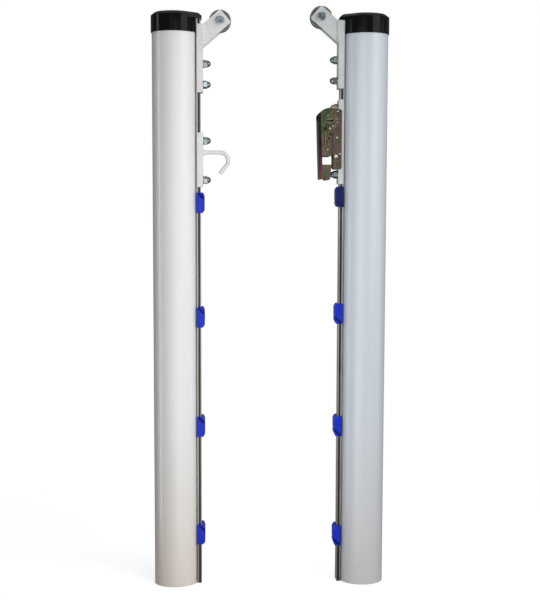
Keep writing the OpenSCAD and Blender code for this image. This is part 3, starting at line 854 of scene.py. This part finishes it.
class Finish:
    """A node material, with short calls for its usual parts."""

    def __init__(self, name):
        self.material = bpy.data.materials.new(name)
        self.material.use_nodes = True
        self.tree = self.material.node_tree
        self.shader = self.tree.nodes["Principled BSDF"]
        self.place = self.tree.nodes.new("ShaderNodeTexCoord").outputs["Object"]

    def set(self, **values):
        for key, value in values.items():
            self.shader.inputs[key.replace("_", " ")].default_value = value

    def link(self, out, key):
        self.tree.links.new(out, self.shader.inputs[key])

    def noise(self, scale, detail=3.0, rough=0.5, stretch=(1, 1, 1), shift=0.0):
        mapping = self.tree.nodes.new("ShaderNodeMapping")
        mapping.inputs["Scale"].default_value = stretch
        mapping.inputs["Location"].default_value = (shift, shift, shift)
        self.tree.links.new(self.place, mapping.inputs["Vector"])
        node = self.tree.nodes.new("ShaderNodeTexNoise")
        node.inputs["Scale"].default_value = scale
        node.inputs["Detail"].default_value = detail
        node.inputs["Roughness"].default_value = rough
        self.tree.links.new(mapping.outputs["Vector"], node.inputs["Vector"])
        return node.outputs["Fac"]

    def ramp(self, fac, stops):
        node = self.tree.nodes.new("ShaderNodeValToRGB")
        while len(node.color_ramp.elements) < len(stops):
            node.color_ramp.elements.new(0.5)
        for element, (position, colour) in zip(node.color_ramp.elements, stops):
            element.position = position
            element.color = (*colour, 1)
        self.tree.links.new(fac, node.inputs["Fac"])
        return node.outputs["Color"]

    def levels(self, fac, low, high, out_low, out_high):
        node = self.tree.nodes.new("ShaderNodeMapRange")
        node.inputs["From Min"].default_value = low
        node.inputs["From Max"].default_value = high
        node.inputs["To Min"].default_value = out_low
        node.inputs["To Max"].default_value = out_high
        self.tree.links.new(fac, node.inputs["Value"])
        return node.outputs["Result"]

    def add(self, base, extra, gain):
        node = self.tree.nodes.new("ShaderNodeMath")
        node.operation = "MULTIPLY_ADD"
        self.tree.links.new(extra, node.inputs[0])
        node.inputs[1].default_value = gain
        self.tree.links.new(base, node.inputs[2])
        return node.outputs[0]

    def mix(self, fac, a, b):
        node = self.tree.nodes.new("ShaderNodeMix")
        node.data_type = "RGBA"
        self.tree.links.new(fac, node.inputs["Factor"])
        for source, key in ((a, 6), (b, 7)):
            if isinstance(source, tuple):
                node.inputs[key].default_value = (*source, 1)
            else:
                self.tree.links.new(source, node.inputs[key])
        return node.outputs[2]

    def height(self, low, high):
        """1 at the lower height, 0 at the upper one; metres above the floor."""
        node = self.tree.nodes.new("ShaderNodeSeparateXYZ")
        self.tree.links.new(self.place, node.inputs[0])
        return self.levels(node.outputs["Z"], low, high, 1, 0)

    def edges(self):
        return self.tree.nodes.new("ShaderNodeNewGeometry").outputs["Pointiness"]

    def bump(self, height, strength, distance, before=None):
        node = self.tree.nodes.new("ShaderNodeBump")
        node.inputs["Strength"].default_value = strength
        node.inputs["Distance"].default_value = distance
        self.tree.links.new(height, node.inputs["Height"])
        if before:
            self.tree.links.new(before, node.inputs["Normal"])
        self.tree.links.new(node.outputs["Normal"], self.shader.inputs["Normal"])
        return node.outputs["Normal"]


def powder_coat(name, tone, warm, scuffed, floor_bounce_tint):
    """Satin powder coat: mottled, orange peel, scuffed lengthwise, with painted warm bounce light
    near the floor.
    """
    f = Finish(name)
    clouds = f.noise(6, 3, 0.5, (1, 1, 0.35))
    clean = f.ramp(clouds, [(0.25, tone), (0.75, warm)])
    # Warmer towards the floor: painted warm bounce light.
    base = f.mix(f.height(0.06, 0.5), clean, floor_bounce_tint)
    scuffs = f.ramp(f.noise(60, 5, 0.65, (1, 1, 0.08)), [(0.66, (0, 0, 0)), (0.74, (1, 1, 1))])
    rubbed = f.mix(scuffs, base, scuffed)
    f.link(rubbed, "Base Color")
    f.link(f.levels(f.noise(35, 4), 0.3, 0.7, 0.30, 0.40), "Roughness")
    peel = f.bump(f.noise(700, 2, 0.4), 0.10, 0.0004)
    f.bump(f.noise(9, 2, 0.4, (1, 1, 0.3)), 0.10, 0.003, peel)
    f.set(IOR=1.48, Coat_Weight=0.3, Coat_Roughness=0.16)
    return f.material


def bracket_coat(name, deep, pale):
    """Thicker coat over welded steel, worn on its corners."""
    f = Finish(name)
    base = f.ramp(f.noise(40, 4, 0.55), [(0.3, deep), (0.7, pale)])
    grime = f.ramp(f.noise(130, 5, 0.7, shift=3.1), [(0.56, (0, 0, 0)), (0.72, (1, 1, 1))])
    dull = f.mix(f.levels(grime, 0, 1, 0, 0.22), base, (0.45, 0.42, 0.36))
    edge_wear_and_crease_shade = f.ramp(f.edges(), [(0.54, (0, 0, 0)), (0.66, (0.5, 0.5, 0.5))])
    f.link(f.mix(edge_wear_and_crease_shade, dull, (0.52, 0.50, 0.47)), "Base Color")
    f.link(f.levels(f.noise(90, 3), 0.3, 0.7, 0.34, 0.5), "Roughness")
    f.bump(f.noise(420, 3, 0.55), 0.25, 0.0006)
    f.set(IOR=1.47)
    return f.material


def cap_plastic():
    f = Finish("cap_black")
    base = f.ramp(f.noise(50, 4), [(0.3, (0.003, 0.003, 0.004)), (0.8, (0.007, 0.007, 0.008))])
    dust = f.ramp(f.noise(260, 5, 0.7, shift=1.7), [(0.62, (0, 0, 0)), (0.85, (0.12, 0.12, 0.12))])
    f.link(f.mix(dust, base, (0.03, 0.03, 0.03)), "Base Color")
    f.link(f.levels(f.noise(40, 4, 0.6), 0.3, 0.7, 0.09, 0.20), "Roughness")
    ripple = f.bump(f.noise(45, 2, 0.4), 0.14, 0.0012)
    f.bump(f.noise(900, 2), 0.06, 0.0003, ripple)
    f.set(IOR=1.46, Specular_IOR_Level=0.13)
    return f.material


def aluminium(name, deep, pale):
    """Mill-finish extrusion: die lines along the length, dulled here and there."""
    f = Finish(name)
    lines = f.noise(1500, 3, 0.6, (1, 1, 0.004))
    blotch = f.noise(14, 4, 0.6, (1, 1, 0.4), 2.0)
    base = f.ramp(blotch, [(0.3, deep), (0.7, pale)])
    dim = tuple(0.7 * part for part in deep)
    f.link(f.mix(f.levels(lines, 0.35, 0.65, 0, 0.35), base, dim), "Base Color")
    f.link(f.levels(blotch, 0.3, 0.7, 0.34, 0.48), "Roughness")
    f.bump(lines, 0.18, 0.0003)
    f.set(Metallic=0.9)
    return f.material


def zinc(name, light, dark, shine):
    """Cloudy zinc plate, brighter where its corners are worn."""
    f = Finish(name)
    clouds = f.noise(160, 4, 0.6)
    base = f.ramp(clouds, [(0.3, dark), (0.7, light)])
    edge_wear_and_crease_shade = f.ramp(f.edges(), [(0.52, (0, 0, 0)), (0.60, (1, 1, 1))])
    f.link(f.mix(f.levels(edge_wear_and_crease_shade, 0, 1, 0, 0.45), base, (0.70, 0.73, 0.76)), "Base Color")
    f.link(f.levels(f.noise(300, 3), 0.3, 0.7, shine, shine + 0.14), "Roughness")
    f.bump(f.noise(600, 3, 0.6), 0.12, 0.0003)
    f.set(Metallic=0.95)
    return f.material


def pulley_steel():
    f = Finish("pulley_metal")
    base = f.ramp(f.noise(90, 4, 0.6), [(0.3, (0.07, 0.075, 0.08)), (0.7, (0.16, 0.165, 0.17))])
    edge_wear_and_crease_shade = f.ramp(f.edges(), [(0.50, (0, 0, 0)), (0.60, (1, 1, 1))])
    f.link(f.mix(f.levels(edge_wear_and_crease_shade, 0, 1, 0, 0.4), base, (0.40, 0.41, 0.42)), "Base Color")
    f.link(f.levels(f.noise(200, 3), 0.3, 0.7, 0.30, 0.46), "Roughness")
    f.bump(f.noise(500, 3, 0.6), 0.15, 0.0003)
    f.set(Metallic=0.85)
    return f.material


def bronze():
    f = Finish("bush_bronze")
    base = f.ramp(f.noise(120, 4), [(0.3, (0.32, 0.19, 0.07)), (0.7, (0.50, 0.33, 0.14))])
    f.link(base, "Base Color")
    f.link(f.levels(f.noise(220, 3), 0.3, 0.7, 0.3, 0.45), "Roughness")
    f.bump(f.noise(700, 3), 0.12, 0.0002)
    f.set(Metallic=0.95)
    return f.material


def yellow_zinc(name, gain):
    """Yellow chromate on zinc: broad olive, brown and purple patches that drift into each other."""
    f = Finish(name)
    drift = f.add(f.noise(26, 2, 0.45, shift=0.4), f.height(1.150, 1.158), 0.13)
    shades = [(0.30, (0.040, 0.062, 0.026)), (0.42, (0.085, 0.095, 0.042)),
              (0.52, (0.135, 0.095, 0.055)), (0.60, (0.130, 0.075, 0.078)),
              (0.72, (0.070, 0.090, 0.040))]
    base = f.ramp(drift, [(at, tuple(gain * part for part in tone)) for at, tone in shades])
    pale = f.ramp(f.noise(120, 4, 0.6, shift=5.0), [(0.50, (0, 0, 0)), (0.78, (0.45, 0.45, 0.45))])
    tinted = f.mix(pale, base, (0.26 * gain, 0.22 * gain, 0.13 * gain))
    dark = f.ramp(f.noise(85, 5, 0.7, shift=8.0), [(0.54, (0, 0, 0)), (0.76, (0.8, 0.8, 0.8))])
    stained = f.mix(dark, tinted, (0.030, 0.032, 0.016))
    edge_wear_and_crease_shade = f.ramp(f.edges(), [(0.52, (0, 0, 0)), (0.62, (0.6, 0.6, 0.6))])
    f.link(f.mix(edge_wear_and_crease_shade, stained, (0.34 * gain, 0.30 * gain, 0.20 * gain)), "Base Color")
    f.link(f.levels(f.noise(200, 4), 0.3, 0.7, 0.26, 0.42), "Roughness")
    f.bump(f.noise(500, 4, 0.6), 0.2, 0.0004)
    f.set(Metallic=0.85)
    return f.material


def dark_back():
    """The lever's back: nearly black above, which is painted shade, running into purple and brown
    chromate tones at its lower end.
    """
    f = Finish("chromate_back_painted_shade")
    shades = [(0.0, (0.006, 0.006, 0.005)), (0.35, (0.060, 0.012, 0.035)),
              (0.75, (0.130, 0.030, 0.055)), (1.0, (0.16, 0.09, 0.04))]
    tone = f.ramp(f.height(1.115, 1.205), shades)
    stain = f.ramp(f.noise(85, 5, 0.7, shift=8.0), [(0.50, (0, 0, 0)), (0.72, (1, 1, 1))])
    f.link(f.mix(f.levels(stain, 0, 1, 0, 0.6), tone, (0.008, 0.010, 0.006)), "Base Color")
    f.link(f.levels(f.noise(200, 4), 0.3, 0.7, 0.30, 0.46), "Roughness")
    f.bump(f.noise(500, 4, 0.6), 0.2, 0.0004)
    f.set(Metallic=0.5, Specular_IOR_Level=0.3)
    return f.material


def plain_steel():
    f = Finish("turned_steel")
    base = f.ramp(f.noise(130, 4), [(0.3, (0.34, 0.34, 0.34)), (0.7, (0.52, 0.52, 0.52))])
    stain = f.ramp(f.noise(70, 5, 0.7, shift=2.0), [(0.58, (0, 0, 0)), (0.78, (0.5, 0.5, 0.5))])
    f.link(f.mix(stain, base, (0.20, 0.16, 0.11)), "Base Color")
    f.link(f.levels(f.noise(240, 3), 0.3, 0.7, 0.26, 0.42), "Roughness")
    f.bump(f.noise(900, 3, 0.6, (1, 0.05, 1)), 0.12, 0.0002)
    f.set(Metallic=0.9)
    return f.material


def blue_plastic(name, deep, bright):
    f = Finish(name)
    base = f.ramp(f.noise(60, 3), [(0.3, deep), (0.7, bright)])
    # Hollows and creases, where pointiness is low, are darkened: painted shade.
    edge_wear_and_crease_shade = f.ramp(f.edges(), [(0.40, (0.6, 0.6, 0.6)), (0.49, (0, 0, 0))])
    f.link(f.mix(edge_wear_and_crease_shade, base, tuple(0.3 * part for part in deep)), "Base Color")
    f.link(f.levels(f.noise(150, 4), 0.3, 0.7, 0.30, 0.44), "Roughness")
    f.bump(f.noise(700, 3, 0.6), 0.12, 0.0003)
    f.set(IOR=1.48, Specular_IOR_Level=0.22)
    return f.material


# ---------- stage, light and camera ----------

def disc(name, radius, height, rings):
    count = 96
    points = [(0.0, 0.0, height)]
    faces = []
    for i in range(1, rings + 1):
        points += ring_at(radius * i / rings, height, count)
    for k in range(count):
        faces.append((0, 1 + k, 1 + (k + 1) % count))
    for i in range(rings - 1):
        a = 1 + i * count
        for k in range(count):
            n = (k + 1) % count
            faces.append((a + k, a + count + k, a + count + n, a + n))
    mesh = bpy.data.meshes.new(name)
    mesh.from_pydata(points, [], faces)
    thing = bpy.data.objects.new(name, mesh)
    bpy.context.scene.collection.objects.link(thing)
    return thing


def floor():
    """Pale paper near the posts, with their shadows, that fades into plain white further out."""
    near = disc("floor", 1.6, 0.0, 8)
    f = Finish("floor_paper")
    paper = f.ramp(f.noise(5, 3), [(0.3, (0.86, 0.86, 0.86)), (0.7, (0.88, 0.88, 0.88))])
    f.link(paper, "Base Color")
    f.link(f.levels(f.noise(20, 3), 0.3, 0.7, 0.75, 0.9), "Roughness")
    f.set(Specular_IOR_Level=0.1, Emission_Strength=0.52)
    f.shader.inputs["Emission Color"].default_value = (1, 1, 1, 1)
    near.data.materials.append(f.material)
    near.visible_diffuse = False
    near.visible_glossy = False
    length = f.tree.nodes.new("ShaderNodeVectorMath")
    length.operation = "LENGTH"
    f.tree.links.new(f.place, length.inputs[0])
    fade = f.levels(length.outputs["Value"], 0.55, 1.5, 1, 0)
    f.link(fade, "Alpha")
    far = disc("far_floor", 14, -0.002, 6)
    glow = Finish("far_white")
    glow.set(Emission_Strength=1.0, Specular_IOR_Level=0.0)
    glow.shader.inputs["Base Color"].default_value = (0, 0, 0, 1)
    glow.shader.inputs["Emission Color"].default_value = (1, 1, 1, 1)
    far.data.materials.append(glow.material)
    for key in ("visible_diffuse", "visible_glossy", "visible_shadow", "visible_transmission"):
        setattr(far, key, False)


def area(name, place, target, size, power, colour=(1, 1, 1)):
    lamp = bpy.data.lights.new(name, "AREA")
    lamp.shape = "RECTANGLE"
    lamp.size = size[0]
    lamp.size_y = size[1]
    lamp.energy = power
    lamp.color = colour
    holder = bpy.data.objects.new(name, lamp)
    holder.location = place
    way = Vector(target) - Vector(place)
    holder.rotation_euler = way.to_track_quat("-Z", "Y").to_euler()
    holder.visible_camera = False
    bpy.context.scene.collection.objects.link(holder)
    return holder


def lights():
    """The camera sees the world as white; its light on the posts is a weaker pale blue."""
    world = bpy.data.worlds.new("studio")
    bpy.context.scene.world = world
    world.use_nodes = True
    tree = world.node_tree
    back = tree.nodes["Background"]
    back.inputs["Color"].default_value = (0.90, 0.95, 1.0, 1)
    back.inputs["Strength"].default_value = 0.26
    white = tree.nodes.new("ShaderNodeBackground")
    white.inputs["Color"].default_value = (1, 1, 1, 1)
    seen = tree.nodes.new("ShaderNodeLightPath")
    pick = tree.nodes.new("ShaderNodeMixShader")
    tree.links.new(seen.outputs["Is Camera Ray"], pick.inputs[0])
    tree.links.new(back.outputs[0], pick.inputs[1])
    tree.links.new(white.outputs[0], pick.inputs[2])
    tree.links.new(pick.outputs[0], tree.nodes["World Output"].inputs["Surface"])
    area("key", (2.2, -2.2, 1.9), (-0.1, 0, 0.75), (1.8, 2.4), 37)
    area("fill", (-0.5, -3.2, 1.1), (0, 0, 0.7), (1.4, 1.8), 8)
    area("top", (0.1, 0.2, 3.3), (0, 0, 0), (2.6, 2.0), 9)
    area("cross", (0.10, -0.60, 0.75), (-0.24, 0, 0.75), (0.25, 1.7), 1.0)
    area("low", (-0.45, -1.6, 0.22), (-0.1, 0, 0.18), (1.0, 0.3), 1.5, (1.0, 0.80, 0.62))
    behind = area("back", (0.2, 2.8, 1.7), (0, 0, 0.75), (2.6, 1.8), 26)
    behind.visible_glossy = False
    glint = area("glint", (-1.2, -0.24, 0.8), (0.2, -0.04, 0.8), (0.14, 1.9), 5)
    glint.visible_diffuse = False
    area("side", (2.6, -0.7, 0.9), (0, 0, 0.75), (0.8, 2.0), 7)
    area("strip", (-0.10, -0.62, 0.75), (0.24, 0, 0.75), (0.25, 1.7), 2.3, (0.9, 0.95, 1.0))


def camera():
    """Stands a little left of the middle, two thirds of the posts' height up, turned right."""
    yaw = 0.0502
    pitch = 0.0896
    roll = 0.0029
    ahead = Vector((math.sin(yaw), math.cos(yaw), 0))
    right = Vector((math.cos(yaw), -math.sin(yaw), 0))
    up = Vector((0, 0, 1))
    look = ahead * math.cos(pitch) - up * math.sin(pitch)
    head = up * math.cos(pitch) + ahead * math.sin(pitch)
    side = right * math.cos(roll) + head * math.sin(roll)
    head = head * math.cos(roll) - right * math.sin(roll)
    data = bpy.data.cameras.new("camera")
    data.lens = 66.17
    data.sensor_width = 36
    data.clip_end = 60
    holder = bpy.data.objects.new("camera", data)
    turn = Matrix((side, head, -look)).transposed().to_4x4()
    holder.matrix_world = Matrix.Translation((-0.15, -3.0, 1.05645)) @ turn
    bpy.context.scene.collection.objects.link(holder)
    bpy.context.scene.camera = holder


# The right post's coat is a darker, bluer copy of the left white: painted shade.
PAINT = {
    "left": powder_coat("left_white", (0.80, 0.80, 0.79), (0.84, 0.84, 0.83), (0.70, 0.70, 0.69),
                        (0.82, 0.745, 0.67)),
    "right": powder_coat("right_white_painted_shade", (0.64, 0.68, 0.73), (0.68, 0.71, 0.75), (0.57, 0.59, 0.63),
                         (0.66, 0.65, 0.645)),
}
# The right bracket's grey coat is a darker copy of the cream one: painted shade.
BRACKET = {
    "left": bracket_coat("cream_coat", (0.76, 0.735, 0.70), (0.85, 0.825, 0.79)),
    "right": bracket_coat("cream_coat_painted_shade", (0.56, 0.58, 0.57), (0.65, 0.67, 0.66)),
}
CAP = cap_plastic()
ALUMINIUM = aluminium("rail_aluminium", (0.30, 0.29, 0.27), (0.46, 0.45, 0.43))
# Near-black aluminium for the rail's side grooves: painted shade.
RAIL_GROOVE_SHADE = aluminium("rail_groove_painted_shade", (0.030, 0.027, 0.024), (0.060, 0.054, 0.048))
ZINC = zinc("bright_zinc", (0.27, 0.32, 0.335), (0.11, 0.14, 0.15), 0.20)
# Much paler than the other zinc: partly the rivets' own bright metal, partly painted glints.
RIVET = zinc("rivet_zinc_painted_glint", (0.86, 0.80, 0.68), (0.55, 0.48, 0.36), 0.22)
PINK = zinc("pink_zinc", (0.62, 0.46, 0.36), (0.34, 0.26, 0.20), 0.24)
PULLEY = pulley_steel()
BRONZE = bronze()
YELLOW = yellow_zinc("yellow_chromate", 0.85)
WHEEL = yellow_zinc("wheel_chromate", 1.5)
SHADED = dark_back()
STEEL = plain_steel()
BLUE = blue_plastic("clip_blue", (0.004, 0.022, 0.46), (0.008, 0.032, 0.56))
# Near-black blue for the clips' cord grooves: painted shade.
GROOVE_SHADE_BLUE = blue_plastic("clip_groove", (0.002, 0.005, 0.12), (0.003, 0.008, 0.17))
# A darker copy of the clip blue for right_clip_1: painted shade.
SHADED_CLIP_BLUE = blue_plastic("clip_blue_painted_shade", (0.003, 0.008, 0.085), (0.005, 0.012, 0.125))

camera()
for side in ("left", "right"):
    post_tube(side)
    top_cap(side)
    base_plug(side)
    track(side)
    rivets(side)
    pulley_bracket(side)
    for number in (1, 2, 3, 4):
        clip(side, number)
hook()
ratchet()
floor()
lights()

bpy.context.scene.view_settings.view_transform = "Standard"
bpy.context.scene.view_settings.look = "None"
